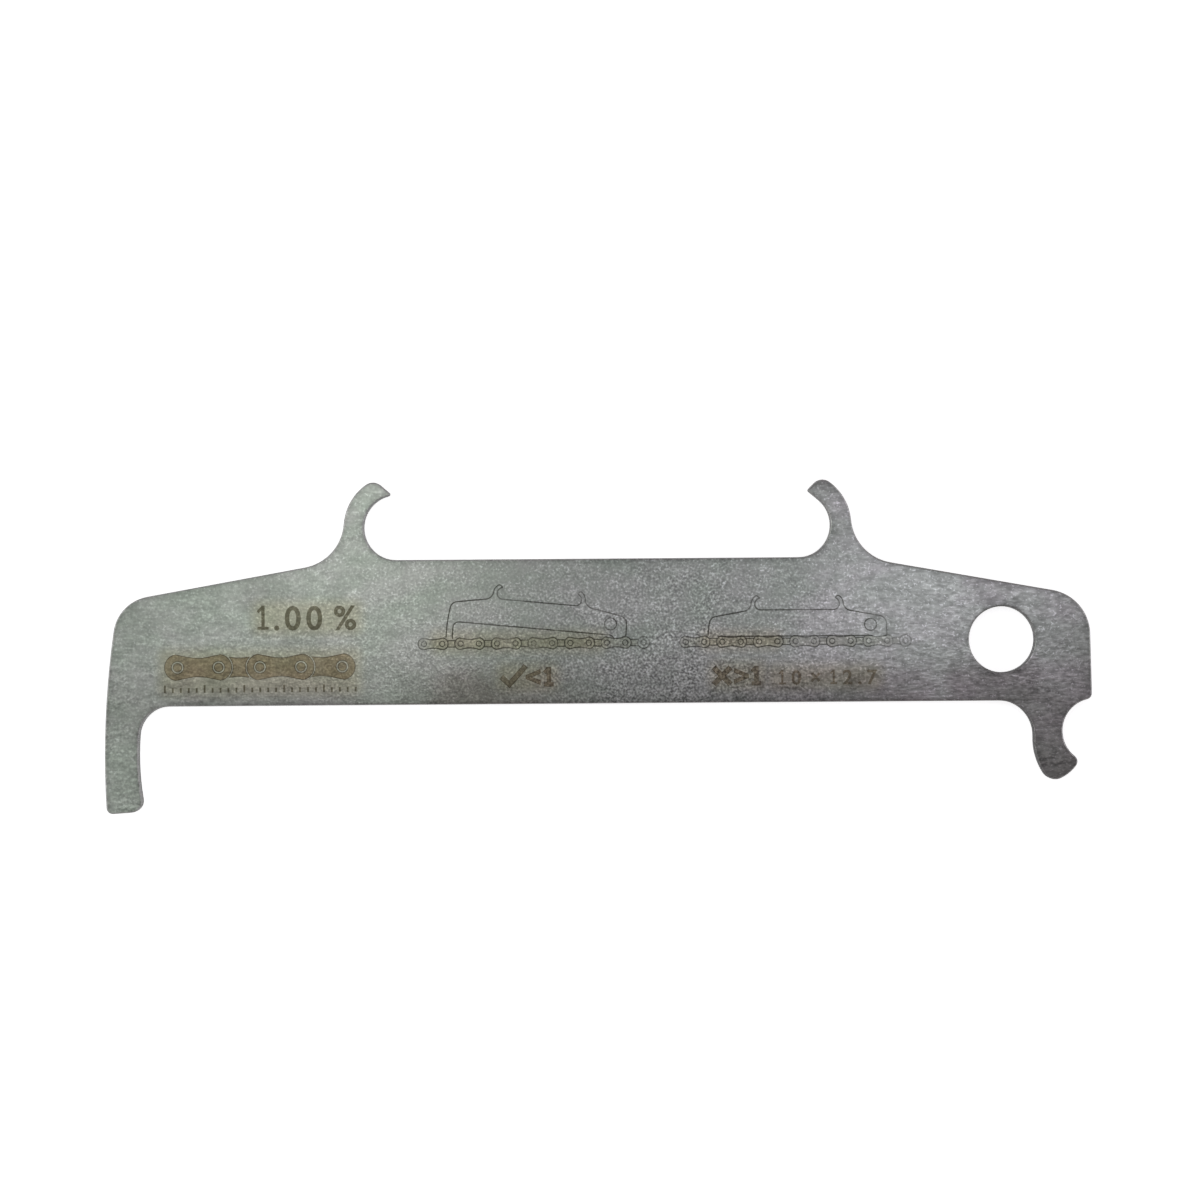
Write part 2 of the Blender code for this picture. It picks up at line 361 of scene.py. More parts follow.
def pick_edges(thing, wanted):
    """Selects the edges for whose two ends wanted is true, in edit mode."""
    bpy.ops.mesh.select_mode(type="EDGE")
    bpy.ops.mesh.select_all(action="DESELECT")
    leave()
    for edge in thing.data.edges:
        edge.select = wanted(*(thing.data.vertices[i].co for i in edge.vertices))
    edit()


def pick_faces(thing, wanted):
    """Selects the faces for which wanted is true, in edit mode."""
    bpy.ops.mesh.select_mode(type="FACE")
    bpy.ops.mesh.select_all(action="DESELECT")
    leave()
    for face in thing.data.polygons:
        face.select = wanted(face)
    edit()


def settle():
    """Puts the active object's place, turn and scale into its mesh."""
    bpy.ops.object.transform_apply(location=True, rotation=True, scale=True)


def move_to(thing, place, height=0.0, turn=0.0):
    alone(thing)
    thing.rotation_mode = "XYZ"
    thing.location = (place[0], place[1], height)
    thing.rotation_euler = (0, 0, turn)
    settle()


def join(things, name):
    alone(things[0])
    for thing in things:
        thing.select_set(True)
    bpy.ops.object.join()
    joined = bpy.context.object
    joined.name = name
    joined.data.name = name
    return joined


def copied(thing):
    alone(thing)
    bpy.ops.object.duplicate()
    return bpy.context.object


def outline_wire(name):
    """The CAD plate's outline and hole as a flat wire at height 0."""
    wire = copied(frame["nodes"][PLATE_NODE])
    bpy.ops.object.parent_clear(type="CLEAR_KEEP_TRANSFORM")
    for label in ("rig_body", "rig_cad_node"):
        del wire[label]
    wire.name = name
    wire.data.name = name
    wire.data.materials.clear()
    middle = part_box(PLATE_NODE)[1].z / 2
    edit()
    bpy.ops.mesh.select_all(action="SELECT")
    bpy.ops.mesh.remove_doubles(threshold=TINY)
    bpy.ops.mesh.select_all(action="SELECT")
    bpy.ops.mesh.bisect(plane_co=(0, 0, middle), plane_no=(0, 0, 1), clear_inner=True, clear_outer=True)
    bpy.ops.mesh.select_all(action="SELECT")
    bpy.ops.transform.translate(value=(0, 0, -middle))
    leave()
    return wire


# Plate


def make_plate():
    """The plate with its sheared wall: burnished above the tear line, drawn in a little below it."""
    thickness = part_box(PLATE_NODE)[1].z - FACE_DROP
    plate = outline_wire("stamped_plate")
    bpy.ops.object.convert(target="CURVE")
    sheet = plate.data
    sheet.dimensions = "2D"
    sheet.fill_mode = "BOTH"
    sheet.extrude = thickness / 2 - RIM_ROUND
    sheet.bevel_depth = RIM_ROUND
    sheet.bevel_resolution = RIM_STEPS
    sheet.offset = -RIM_ROUND
    bpy.ops.object.convert(target="MESH")
    move_to(plate, (0, 0), thickness / 2)
    edit()
    bpy.ops.mesh.select_all(action="SELECT")
    bpy.ops.mesh.remove_doubles(threshold=TINY)
    for height in (TEAR_FOOT, TEAR_TOP):
        bpy.ops.mesh.select_all(action="SELECT")
        bpy.ops.mesh.bisect(plane_co=(0, 0, height), plane_no=(0, 0, 1))
    pick_points(plate, lambda p: RIM_ROUND - TINY < p.z < TEAR_FOOT + TINY)
    bpy.ops.transform.shrink_fatten(value=-TEAR_DEPTH)
    leave()
    plate.data.materials.append(satin_face())
    plate.data.materials.append(sheared_edge())
    edit()
    pick_faces(plate, lambda face: abs(face.normal.z) < WALL_SLOPE)
    plate.active_material_index = 1
    bpy.ops.object.material_slot_assign()
    leave()
    alone(plate)
    bpy.ops.object.shade_smooth_by_angle(angle=SHADE_ANGLE)
    weights = plate.modifiers.new("Even shading", "WEIGHTED_NORMAL")
    weights.keep_sharp = True
    bpy.ops.object.modifier_apply(modifier=weights.name)
    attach(plate, BODY)
    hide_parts(PLATE_NODE)


# Marks in general


def mark_height():
    """The height of the bare face, in which the marks lie half sunk."""
    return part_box(PLATE_NODE)[1].z - FACE_DROP


def finish_mark(mark, material):
    mark.data.materials.clear()
    mark.data.materials.append(material)
    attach(mark, BODY)


def thicken(thing):
    """Gives a flat shape at height 0 the marks' thickness, half of it sunk in the plate."""
    alone(thing)
    edit()
    bpy.ops.mesh.select_all(action="SELECT")
    bpy.ops.mesh.extrude_region_move(TRANSFORM_OT_translate={"value": (0, 0, 2 * MARK_SINK)})
    bpy.ops.mesh.select_all(action="SELECT")
    bpy.ops.mesh.normals_make_consistent(inside=False)
    bpy.ops.transform.translate(value=(0, 0, -MARK_SINK))
    leave()


def drawn_line(wire, width):
    """Turns a flat wire at height 0 into a thin, flattened line."""
    alone(wire)
    bpy.ops.object.convert(target="CURVE")
    wire.data.bevel_depth = width / 2
    wire.data.bevel_resolution = LINE_STEPS
    bpy.ops.object.convert(target="MESH")
    line = bpy.context.object
    edit()
    bpy.ops.mesh.select_all(action="SELECT")
    bpy.ops.mesh.remove_doubles(threshold=MARK_TINY)
    bpy.ops.transform.resize(value=(1, 1, LINE_SINK / (width / 2)))
    leave()
    return line


def draw_contour(mark):
    """The darker line round a filled mark, where the laser starts and stops."""
    wire = copied(mark)
    wire.name = mark.name + "_contour"
    wire.data.name = wire.name
    move_to(wire, (0, 0), -mark_height())
    edit()
    bpy.ops.mesh.select_all(action="SELECT")
    level = {"plane_co": (0, 0, 0), "plane_no": (0, 0, 1), "threshold": CONTOUR_CUT}
    bpy.ops.mesh.bisect(**level, clear_inner=True, clear_outer=True)
    leave()
    contour = drawn_line(wire, CONTOUR_WIDTH)
    move_to(contour, (0, 0), mark_height())
    finish_mark(contour, mark_material("contour"))


def stroke(start, end, width):
    """A flat bar of this width from one point to the other, with the marks' thickness."""
    start = Vector(start)
    end = Vector(end)
    bpy.ops.object.select_all(action="DESELECT")
    bpy.ops.mesh.primitive_plane_add(size=1)
    bar = bpy.context.object
    bar.scale = ((end - start).length, width, 1)
    settle()
    thicken(bar)
    move_to(bar, (start + end) / 2, 0, math.atan2(end.y - start.y, end.x - start.x))
    return bar


def disc(radius, depth):
    bpy.ops.object.select_all(action="DESELECT")
    bpy.ops.mesh.primitive_cylinder_add(vertices=LOBE_STEPS, radius=radius, depth=depth)
    return bpy.context.object


def combine(thing, other, operation):
    """Cuts the other shape away from this one or fuses the two, and uses the other up."""
    alone(thing)
    step = thing.modifiers.new("Combine", "BOOLEAN")
    step.operation = operation
    step.solver = "EXACT"
    step.object = other
    bpy.ops.object.modifier_apply(modifier=step.name)
    bpy.data.objects.remove(other)


# Chain links


def link_wire(length, lobe, waist):
    """Outline of a chain's side plate, round the origin: two round ends and a narrower middle."""
    bpy.ops.object.select_all(action="DESELECT")
    bpy.ops.mesh.primitive_circle_add(vertices=LOBE_STEPS, radius=lobe)
    wire = bpy.context.object
    edit()
    for side in (-1, 1):
        pick_points(wire, lambda p: p.x * side > TINY)
        bpy.ops.transform.translate(value=(side * length / 2, 0, 0))
    pick_points(wire, lambda p: abs(p.x) < TINY)
    bpy.ops.transform.resize(value=(1, waist / lobe, 1))
    bpy.ops.mesh.bevel(offset=length * WAIST_BLEND, segments=WAIST_STEPS, affect="VERTICES")
    leave()
    return wire


def link_sides(length, lobe, half_height):
    """The two straight lines that show of an inner side plate between two round ends."""
    reach = length / 2 - math.sqrt(lobe**2 - half_height**2)
    bpy.ops.object.select_all(action="DESELECT")
    bpy.ops.mesh.primitive_plane_add(size=1)
    wire = bpy.context.object
    wire.scale = (2 * reach, 2 * half_height, 1)
    settle()
    edit()
    pick_points(wire, lambda p: True)
    bpy.ops.mesh.delete(type="ONLY_FACE")
    pick_edges(wire, lambda first, second: abs(first.x - second.x) < TINY)
    bpy.ops.mesh.delete(type="EDGE_FACE")
    leave()
    return wire


def link_plate(length, lobe, waist):
    """A filled side plate of a chain, with the marks' thickness."""
    plate = link_wire(length, lobe, waist)
    alone(plate)
    edit()
    bpy.ops.mesh.select_all(action="SELECT")
    bpy.ops.mesh.edge_face_add()
    leave()
    thicken(plate)
    return plate


def ring_wire(radius):
    bpy.ops.object.select_all(action="DESELECT")
    bpy.ops.mesh.primitive_circle_add(vertices=RING_STEPS, radius=radius)
    return bpy.context.object


# Pictures of the gauge on a chain


def draw_chain(name, start):
    """A run of chain seen from the side, as thin lines."""
    outer = drawn_line(link_wire(CHAIN_PITCH, LINK_LOBE, LINK_WAIST), LINE_WIDTH)
    inner = drawn_line(link_sides(CHAIN_PITCH, LINK_LOBE, INNER_WAIST), LINE_WIDTH)
    pin = drawn_line(ring_wire(PIN_RADIUS), LINE_WIDTH)
    last = drawn_line(ring_wire(LINK_LOBE), LINE_WIDTH)
    height = mark_height()
    parts = []
    for roller in range(CHAIN_ROLLERS):
        x = start[0] + roller * CHAIN_PITCH
        spot = copied(pin)
        move_to(spot, (x, start[1]), height)
        parts.append(spot)
        if roller == CHAIN_ROLLERS - 1:
            continue
        side = copied(inner if roller % 2 else outer)
        move_to(side, (x + CHAIN_PITCH / 2, start[1]), height)
        parts.append(side)
    move_to(last, (start[0] + (CHAIN_ROLLERS - 1) * CHAIN_PITCH, start[1]), height)
    parts.append(last)
    for pattern in (outer, inner, pin):
        bpy.data.objects.remove(pattern)
    finish_mark(join(parts, name), mark_material("fine"))


def draw_chain_fill(name, start):
    """The faint warm patches inside the side plates of a drawn chain."""
    patches = []
    for link in range(CHAIN_ROLLERS - 1):
        middle = start[0] + CHAIN_PITCH * (link + 0.5)
        if link % 2 == 0:
            patch = link_plate(CHAIN_PITCH, LINK_LOBE, LINK_WAIST)
            move_to(patch, (middle, start[1]))
        else:
            reach = CHAIN_PITCH / 2 - LINK_LOBE - FILL_GAP
            patch = stroke((middle - reach, start[1]), (middle + reach, start[1]), 2 * INNER_WAIST)
        patches.append(patch)
    fill = join(patches, name)
    move_to(fill, (0, 0), mark_height() - FILL_LOWER)
    finish_mark(fill, mark_material("faint"))


def draw_gauge(name, place, tilt, chain_y):
    """The gauge's own outline in small, cut off where it goes behind the chain."""
    wire = outline_wire(name)
    wire.scale = (PICTURE_SCALE, PICTURE_SCALE, 1)
    settle()
    move_to(wire, place, 0, tilt)
    edit()
    bpy.ops.mesh.select_all(action="SELECT")
    bpy.ops.mesh.bisect(plane_co=(0, chain_y + PICTURE_CLEAR, 0), plane_no=(0, 1, 0), clear_inner=True)
    leave()
    line = drawn_line(wire, LINE_WIDTH)
    move_to(line, (0, 0), mark_height())
    finish_mark(line, mark_material("fine"))


# Tick, cross, row of chain links and millimetre scale


def bars(reaches):
    """Bars of bold line that run out from one small square: how far each goes, by its direction."""
    half = BOLD_LINE_WIDTH / 2
    bpy.ops.object.select_all(action="DESELECT")
    bpy.ops.mesh.primitive_plane_add(size=BOLD_LINE_WIDTH)
    sign = bpy.context.object
    for way, reach in reaches.items():
        direction = Vector((*way, 0))
        edit()
        pick_points(sign, lambda p: abs(p.dot(direction) - half) < TINY and p.length < 2 * half)
        bpy.ops.mesh.extrude_region_move(TRANSFORM_OT_translate={"value": direction * reach})
        leave()
    return sign


def draw_sign(name, reaches, place, turn):
    """A filled sign made of bars, with its darker contour."""
    sign = bars(reaches)
    thicken(sign)
    move_to(sign, place, mark_height(), turn)
    sign.name = name
    draw_contour(sign)
    finish_mark(sign, mark_material("bold"))


def draw_tick():
    reaches = {(0, 1): TICK_LONG_ARM, (-1, 0): TICK_SHORT_ARM}
    draw_sign("mark_tick", reaches, TICK_FOOT, TICK_TURN)


def draw_cross():
    arm = CROSS_HEIGHT / math.sqrt(2) - BOLD_LINE_WIDTH
    reaches = {(1, 0): arm, (0, 1): arm, (-1, 0): arm, (0, -1): arm}
    draw_sign("mark_cross", reaches, CROSS_CENTRE, 45 * DEGREE)


def draw_link_band():
    """A row of filled chain links."""
    first = -BAND_PITCH * (BAND_ROLLERS - 1) / 2
    rollers = [first + BAND_PITCH * i for i in range(BAND_ROLLERS)]
    parts = []
    for i, (left, right) in enumerate(zip(rollers, rollers[1:])):
        inner = i % 2 == 1
        plate = link_plate(BAND_PITCH, BAND_LOBE, BAND_WAIST)
        move_to(plate, ((left + right) / 2, 0))
        for x in (left, right):
            hidden = inner and x != rollers[-1]
            radius = BAND_LOBE + BAND_GAP if hidden else BAND_PIN_HOLE
            hole = disc(radius, CUTTER_DEPTH)
            move_to(hole, (x, 0))
            combine(plate, hole, "DIFFERENCE")
        parts.append(plate)
    for x in rollers:
        pin = disc(BAND_PIN, 2 * MARK_SINK)
        move_to(pin, (x, 0))
        parts.append(pin)
    band = join(parts, "mark_link_band")
    move_to(band, BAND_CENTRE, mark_height())
    draw_contour(band)
    finish_mark(band, mark_material("burnt"))


def draw_scale():
    """A short millimetre scale: a line for each millimetre, longer at every fifth."""
    lines = []
    for i in range(SCALE_STEPS + 1):
        length = SCALE_SHORT if i % SCALE_LONG_EVERY else SCALE_LONG
        x = SCALE_START[0] + i * MM
        line = stroke((x, SCALE_START[1]), (x, SCALE_START[1] + length), SCALE_LINE)
        lines.append(line)
    scale = join(lines, "mark_millimetre_scale")
    move_to(scale, (0, 0), mark_height())
    finish_mark(scale, mark_material("deep"))


# Numbers


def side_ends(thing):
    """The least and greatest x of a mesh's own points."""
    xs = [point.co.x for point in thing.data.vertices]
    return min(xs), max(xs)


def glyph(character, height, bold):
    """One character of a label as a thin flat shape, with its foot at the origin's height."""
    bpy.ops.object.select_all(action="DESELECT")
    bpy.ops.object.text_add()
    text = bpy.context.object
    text.data.body = character
    text.data.size = height / DIGIT_SHARE
    text.data.offset = bold
    text.data.resolution_u = GLYPH_STEPS
    text.data.extrude = MARK_SINK
    bpy.ops.object.convert(target="MESH")
    mark = bpy.context.object
    edit()
    bpy.ops.mesh.select_all(action="SELECT")
    bpy.ops.mesh.remove_doubles(threshold=MARK_TINY)
    leave()
    return mark


def digit_one(height, width):
    """The digit 1 in three strokes: stem, foot and flag."""
    side = height * ONE_WIDTH / 2
    one = stroke((0, 0), (0, height), width)
    foot = stroke((-side, width / 2), (side, width / 2), width * ONE_FOOT_STROKE)
    flag_start = (-side * ONE_FLAG_REACH, height * ONE_FLAG_START)
    flag_end = (0, height - width * ONE_FLAG_TUCK)
    flag = stroke(flag_start, flag_end, width * ONE_FLAG_STROKE)
    combine(one, foot, "UNION")
    combine(one, flag, "UNION")
    return one


def draw_label(name, characters, x, y, height, one_stroke, gap, bold, finish, edged):
    """Characters one after the other, each set off from the last by the same gap."""
    pieces = []
    pen = 0.0
    for character in characters:
        if character == " ":
            pen += height * SPACE_WIDTH * MM
            continue
        if character == "1":
            piece = digit_one(height * MM, one_stroke * MM)
        else:
            piece = glyph(character, height * MM, bold * MM)
        left, right = side_ends(piece)
        move_to(piece, (pen - left, 0))
        pen += right - left + gap * MM
        pieces.append(piece)
    label = join(pieces, name)
    move_to(label, (x * MM, y * MM), mark_height())
    if edged:
        draw_contour(label)
    finish_mark(label, mark_material(finish))


def make_marks():
    draw_chain("mark_good_chain", GOOD_CHAIN_START)
    draw_gauge("mark_gauge_on_good_chain", GOOD_GAUGE_PLACE, GOOD_GAUGE_TILT, GOOD_CHAIN_START[1])
    draw_chain_fill("mark_good_chain_fill", GOOD_CHAIN_START)
    draw_chain("mark_worn_chain", WORN_CHAIN_START)
    draw_chain_fill("mark_worn_chain_fill", WORN_CHAIN_START)
    draw_gauge("mark_gauge_on_worn_chain", WORN_GAUGE_PLACE, 0, WORN_CHAIN_START[1])
    draw_tick()
    draw_cross()
    draw_link_band()
    draw_scale()
    for label in LABELS:
        draw_label(*label)


# Nodes


def put(tree, kind, **settings):
    node = tree.nodes.new(kind)
    for name, value in settings.items():
        setattr(node, name, value)
    return node


def feed(tree, socket, source):
    """Sets a socket to a value, or links it to another node's socket."""
    if isinstance(source, bpy.types.NodeSocket):
        tree.links.new(source, socket)
    else:
        socket.default_value = source


def fed(tree, kind, sources, **settings):
    """A new node with these sources at its inputs, by the inputs' names or numbers."""
    node = put(tree, kind, **settings)
    for label, source in sources.items():
        feed(tree, node.inputs[label], source)
    return node


def noise(tree, place, scale, detail, roughness):
    sources = {"Vector": place, "Scale": scale, "Detail": detail, "Roughness": roughness}
    return fed(tree, "ShaderNodeTexNoise", sources).outputs["Fac"]


def stretched(tree, place, scale):
    return fed(tree, "ShaderNodeMapping", {"Vector": place, "Scale": scale}).outputs["Vector"]


def axes_of(tree, place):
    return fed(tree, "ShaderNodeSeparateXYZ", {"Vector": place}).outputs


def ranged(tree, value, low, high, to_low, to_high, way="LINEAR"):
    sources = {"Value": value, "From Min": low, "From Max": high, "To Min": to_low, "To Max": to_high}
    return fed(tree, "ShaderNodeMapRange", sources, interpolation_type=way).outputs["Result"]


def math_of(tree, operation, first, second=0.0):
    return fed(tree, "ShaderNodeMath", {0: first, 1: second}, operation=operation).outputs["Value"]


def vector_of(tree, operation, first, second=(0, 0, 0)):
    return fed(tree, "ShaderNodeVectorMath", {0: first, 1: second}, operation=operation).outputs


def mixed(tree, factor, first, second, blend="MIX", kind="RGBA"):
    sources = {"Factor": factor, "A": first, "B": second}
    return fed(tree, "ShaderNodeMix", sources, data_type=kind, blend_type=blend).outputs["Result"]


def times(tree, first, second):
    return mixed(tree, 1.0, first, second, "MULTIPLY")


def colour(red, green, blue):
    return (red, green, blue, 1.0)


def graded(tree, value, stops):
    """A value or colour that runs through the stops, each a place from 0 to 1 and what it is there."""
    node = fed(tree, "ShaderNodeValToRGB", {"Fac": value})
    ramp = node.color_ramp
    while len(ramp.elements) < len(stops):
        ramp.elements.new(0.5)
    for element, (place, level) in zip(ramp.elements, stops):
        element.position = place
        element.color = colour(*level) if isinstance(level, tuple) else colour(level, level, level)
    return node.outputs["Color"]


def start_group(name, inputs, outputs):
    """An empty node group with named sockets, each given as its name and its kind."""
    tree = bpy.data.node_groups.new(name, "ShaderNodeTree")
    for way, sockets in (("INPUT", inputs), ("OUTPUT", outputs)):
        for label, kind in sockets:
            tree.interface.new_socket(label, in_out=way, socket_type="NodeSocket" + kind)
    given = put(tree, "NodeGroupInput").outputs
    result = put(tree, "NodeGroupOutput").inputs
    return tree, given, result


def placed(tree, name, build, sources):
    """The group of this name, built once, placed in a tree with these sources."""
    if name not in bpy.data.node_groups:
        build(name)
    group = bpy.data.node_groups[name]
    return fed(tree, "ShaderNodeGroup", sources, node_tree=group).outputs


# Effects


def build_grain(name):
    """Speckle of a tumbled sheet, streaks, and painted glints in bright wisps along its rolling
    direction.
    """
    inputs = (
        ("Place", "Vector"),
        ("Speckle Scale", "Float"),
        ("Streak Scale", "Float"),
        ("Streak Share", "Float"),
    )
    outputs = (("Tone", "Float"), ("Height", "Float"), ("Glint", "Float"))
    tree, given, result = start_group(name, inputs, outputs)
    place = given["Place"]
    speckle = noise(tree, place, given["Speckle Scale"], 1.0, 0.5)
    streak = noise(tree, stretched(tree, place, STREAK_STRETCH), given["Streak Scale"], 1.5, 0.5)
    both = mixed(tree, given["Streak Share"], speckle, streak, kind="FLOAT")
    wisps = noise(tree, stretched(tree, place, WISP_STRETCH), *WISPS)
    ridge = math_of(tree, "ABSOLUTE", math_of(tree, "SUBTRACT", wisps, 0.5))
    crest = ranged(tree, ridge, *WISP_CREST)
    gate = ranged(tree, speckle, *WISP_GATE)
    even = ranged(tree, both, *GRAIN_SPAN)
    feed(tree, result["Tone"], math_of(tree, "POWER", even, GRAIN_SKEW))
    feed(tree, result["Height"], both)
    feed(tree, result["Glint"], math_of(tree, "MULTIPLY", crest, gate))


def build_near_edge(name):
    """How close a point is to a sharp edge: 1 at the edge, 0 further off than the reach."""
    tree, given, result = start_group(name, (("Reach", "Float"),), (("Near", "Float"),))
    rounded = fed(tree, "ShaderNodeBevel", {"Radius": given["Reach"]}, samples=RIM_SAMPLES)
    plain = put(tree, "ShaderNodeNewGeometry")
    both = vector_of(tree, "DOT_PRODUCT", rounded.outputs["Normal"], plain.outputs["Normal"])
    bend = math_of(tree, "ARCCOSINE", both["Value"])
    feed(tree, result["Near"], ranged(tree, bend, *RIM_BEND))


def build_soft_box(name):
    """A mask that is 1 over a box and fades to 0 past its sides."""
    inputs = (("Place", "Vector"), ("Middle", "Vector"), ("Half Size", "Vector"), ("Fade", "Float"))
    tree, given, result = start_group(name, inputs, (("Mask", "Float"),))
    off = vector_of(tree, "SUBTRACT", given["Place"], given["Middle"])["Vector"]
    away = vector_of(tree, "ABSOLUTE", off)["Vector"]
    past = vector_of(tree, "SUBTRACT", away, given["Half Size"])["Vector"]
    outside = vector_of(tree, "MAXIMUM", past)["Vector"]
    length = vector_of(tree, "LENGTH", outside)["Value"]
    feed(tree, result["Mask"], ranged(tree, length, 0.0, given["Fade"], 1.0, 0.0, "SMOOTHSTEP"))


def soft_boxes(tree, place, boxes, fade):
    """The strongest of these boxes' masks at each point."""
    strongest = 0.0
    for middle, half_size in boxes:
        sources = {
            "Place": place,
            "Middle": Vector(middle) * MM,
            "Half Size": Vector(half_size) * MM,
            "Fade": fade,
        }
        mask = placed(tree, "soft_box", build_soft_box, sources)["Mask"]
        strongest = math_of(tree, "MAXIMUM", mask, strongest)
    return strongest


def grained_steel(tree, parts, patches, along, up):
    """Steel with its dark and light grain, and painted glints in it."""
    steel = colour(*STEEL)
    dark = colour(*(c * DARK_GRAIN for c in STEEL))
    light = colour(*(c * LIGHT_GRAIN for c in STEEL))
    worn = ranged(tree, up, *GRAIN_UP_THE_PLATE)
    strength = math_of(tree, "MULTIPLY", graded(tree, along, GRAIN_STRENGTH), worn)
    strength = math_of(tree, "MULTIPLY", strength, ranged(tree, up, *GRAIN_ON_HOOKS))
    strength = math_of(tree, "MULTIPLY", strength, ranged(tree, patches, *GRAIN_IN_PATCHES))
    speckled = mixed(tree, strength, steel, mixed(tree, parts["Tone"], dark, light))
    painted_glint = math_of(tree, "MULTIPLY", parts["Glint"], graded(tree, along, PAINTED_GLINT_SHARE))
    return mixed(tree, painted_glint, speckled, colour(*PAINTED_GLINT))


def clouded(tree, steel, place, up):
    """Steel with soft light and dark clouds in it, a little green here and plum there, and a painted
    sheen that makes the hooks lighter.
    """
    mottle = noise(tree, stretched(tree, place, PATCH_STRETCH), *MOTTLE)
    blotch = noise(tree, stretched(tree, place, BLOTCH_STRETCH), *BLOTCHES)
    half_mottle = math_of(tree, "MULTIPLY", mottle, 0.5)
    half_blotch = math_of(tree, "MULTIPLY", blotch, 0.5)
    level = ranged(tree, math_of(tree, "ADD", half_mottle, half_blotch), *CLOUDS)
    # Painted sheen: lighter on the hooks.
    level = math_of(tree, "MULTIPLY", level, ranged(tree, up, *PAINTED_SHEEN_ON_HOOKS))
    hue = mixed(tree, ranged(tree, mottle, *HUE_SPAN), colour(*GREENISH), colour(*PLUM))
    return times(tree, times(tree, steel, hue), level)


def painted_edge_shade(tree, patches, along, up):
    """Painted shade: how far the long lower edge and the leg at the right are darkened."""
    down = ranged(tree, up, *PAINTED_SHADE_DOWN)
    above_legs = ranged(tree, up, *PAINTED_SHADE_ABOVE_LEGS)
    leg = ranged(tree, along, *PAINTED_SHADE_LEG)
    uneven = ranged(tree, patches, *PAINTED_SHADE_IN_PATCHES)
    where = math_of(tree, "MULTIPLY", down, graded(tree, along, PAINTED_SHADE_SHARE))
    where = math_of(tree, "MULTIPLY", where, math_of(tree, "MAXIMUM", above_legs, leg))
    return math_of(tree, "MINIMUM", math_of(tree, "MULTIPLY", where, uneven), 1.0)


def painted_shade_and_smudges(tree, steel, place, patches, along, up):
    """Steel with painted shade along its lower edge, on the leg and below the hanging hole, with smudges,
    and darker just above and below the hanging hole.
    """
    shade_spot = soft_boxes(tree, place, PAINTED_SHADE_SPOTS, SHADE_AND_SMUDGE_FADE)
    smudge = math_of(tree, "MULTIPLY", soft_boxes(tree, place, SMUDGED, SHADE_AND_SMUDGE_FADE), SMUDGE_SHARE)
    shade_and_smudges = math_of(tree, "MAXIMUM", painted_edge_shade(tree, patches, along, up), shade_spot)
    shade_and_smudges = math_of(tree, "ADD", shade_and_smudges, smudge)
    # Painted shade, with the smudges: the steel darkened by tints that change along the plate.
    toned_down = mixed(tree, shade_and_smudges, steel, times(tree, steel, graded(tree, along, PAINTED_SHADE_TINTS)))
    # Darker just above and below the hanging hole.
    darker_by_hole = times(tree, toned_down, colour(*HOLE_DARKENING_TINT))
    return mixed(tree, soft_boxes(tree, place, HOLE_DARKENING, HOLE_DARKENING_FADE), toned_down, darker_by_hole)


def build_sheet(name):
    """The sheet's colour and grain: speckled, clouded, dulled by handling, warmed round the marks."""
    outputs = (("Colour", "Color"), ("Tone", "Float"), ("Height", "Float"))
    tree, given, result = start_group(name, (("Place", "Vector"),), outputs)
    place = given["Place"]
    axes = axes_of(tree, place)
    up = axes["Y"]
    along = ranged(tree, axes["X"], *PLATE_ENDS)
    patches = noise(tree, stretched(tree, place, PATCH_STRETCH), *PATCHES)
    brushed = ranged(tree, up, *STREAKS_ON_HOOKS)
    streaky = math_of(tree, "MAXIMUM", graded(tree, along, STREAK_SHARE), brushed)
    sources = {
        "Place": place,
        "Speckle Scale": SPECKLE_SCALE,
        "Streak Scale": STREAK_SCALE,
        "Streak Share": streaky,
    }
    parts = placed(tree, "satin_grain", build_grain, sources)
    steel = grained_steel(tree, parts, patches, along, up)
    steel = clouded(tree, steel, place, up)
    steel = painted_shade_and_smudges(tree, steel, place, patches, along, up)
    warm = times(tree, steel, colour(*HEATED_TINT))
    heated = soft_boxes(tree, place, HEATED, HEAT_FADE)
    feed(tree, result["Colour"], mixed(tree, heated, steel, warm))
    feed(tree, result["Tone"], parts["Tone"])
    feed(tree, result["Height"], parts["Height"])


def sheet_finish(tree, place):
    return placed(tree, "satin_sheet", build_sheet, {"Place": place})


# Materials


def start_material(name, metallic):
    """A named material with its tree, shader and the object's own coordinates."""
    material = bpy.data.materials.new(name)
    material.use_nodes = True
    tree = material.node_tree
    shader = tree.nodes["Principled BSDF"]
    shader.inputs["Metallic"].default_value = metallic
    place = put(tree, "ShaderNodeTexCoord").outputs["Object"]
    return material, tree, shader, place


def bumped(tree, shader, height, strength, distance):
    sources = {"Height": height, "Strength": strength, "Distance": distance}
    feed(tree, shader.inputs["Normal"], fed(tree, "ShaderNodeBump", sources).outputs["Normal"])


def satin_face():
    """Both flat faces: tumbled stainless with fine speckle, streaky towards the hole's end, with painted
    shade darkening them near every sharp edge.
    """
    material, tree, shader, place = start_material("satin_face", 1.0)
    face = sheet_finish(tree, place)
    near = placed(tree, "near_edge", build_near_edge, {"Reach": RIM_REACH})["Near"]
    # Painted shade: the face is darkened near its sharp edges.
    painted_rim_shade = times(tree, face["Colour"], colour(*PAINTED_RIM_SHADE))
    feed(tree, shader.inputs["Base Color"], mixed(tree, near, face["Colour"], painted_rim_shade))
    feed(tree, shader.inputs["Roughness"], ranged(tree, face["Tone"], *FACE_ROUGHNESS))
    bumped(tree, shader, face["Height"], *GRAIN_BUMP)
    return material


